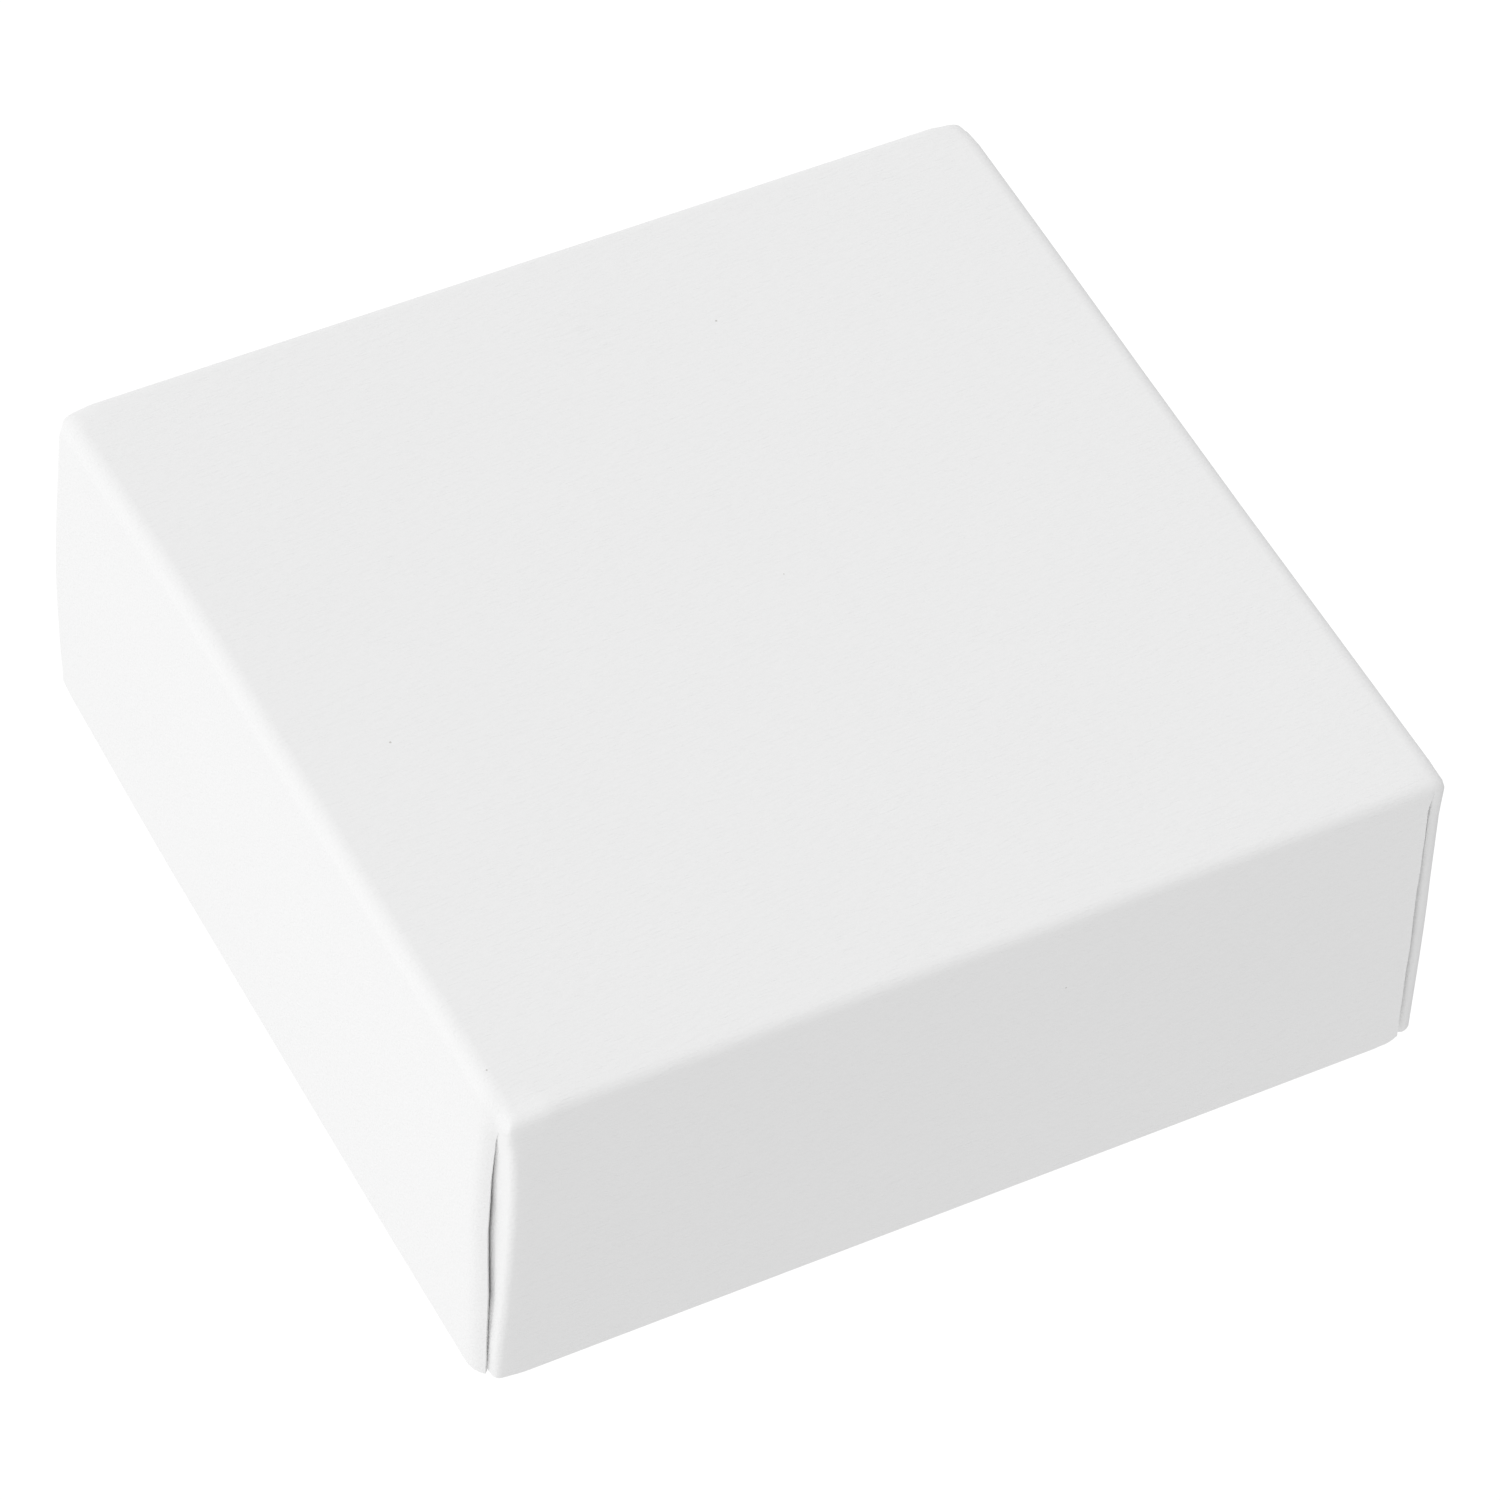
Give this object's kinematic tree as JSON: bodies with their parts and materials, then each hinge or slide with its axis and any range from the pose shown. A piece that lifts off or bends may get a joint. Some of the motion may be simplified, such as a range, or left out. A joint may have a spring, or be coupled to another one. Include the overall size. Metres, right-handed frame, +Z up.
{
  "type": "jewelry gift box",
  "caption": "Square two-piece gift box of folded white board: a deep lid that covers the whole tray, with a velvet-faced foam pad inside for jewelry.",
  "frame": {"origin": "middle of the base's underside, on the surface that the box rests on", "axes": "+Z up, the way the lid lifts off; +X and +Y square to the walls, -Y out of the front wall"},
  "size_m": [0.09, 0.09, 0.0342],
  "materials": {
    "lid_board": "matte uncoated",
    "base_board": "matte uncoated",
    "board_inner": "matte uncoated",
    "foam": "soft open foam",
    "velvet": "flocked velvet"
  },
  "bodies": {
    "base": {"base_bottom": "base_board", "base_wall_front": "base_board", "base_wall_right": "base_board", "base_wall_back": "base_board", "base_wall_left": "base_board", "base_tab_front": "board_inner", "base_tab_right": "board_inner", "base_tab_back": "board_inner", "base_tab_left": "board_inner"},
    "insert": {"foam_pad": "foam", "velvet_facing": "velvet"},
    "lid": {"lid_top": "lid_board", "lid_wall_front": "lid_board", "lid_wall_right": "lid_board", "lid_wall_back": "lid_board", "lid_wall_left": "lid_board", "lid_tab_front": "board_inner", "lid_tab_right": "board_inner", "lid_tab_back": "board_inner", "lid_tab_left": "board_inner"}
  },
  "joints": [
    {"name": "insert_lift", "type": "slide", "parent": "base", "child": "insert", "axis": [0, 0, -1], "range_m": [-0.05, 0]},
    {"name": "lid_lift", "type": "slide", "parent": "insert", "child": "lid", "axis": [0, 0, 1], "range_m": [0, 0.06]}
  ]
}
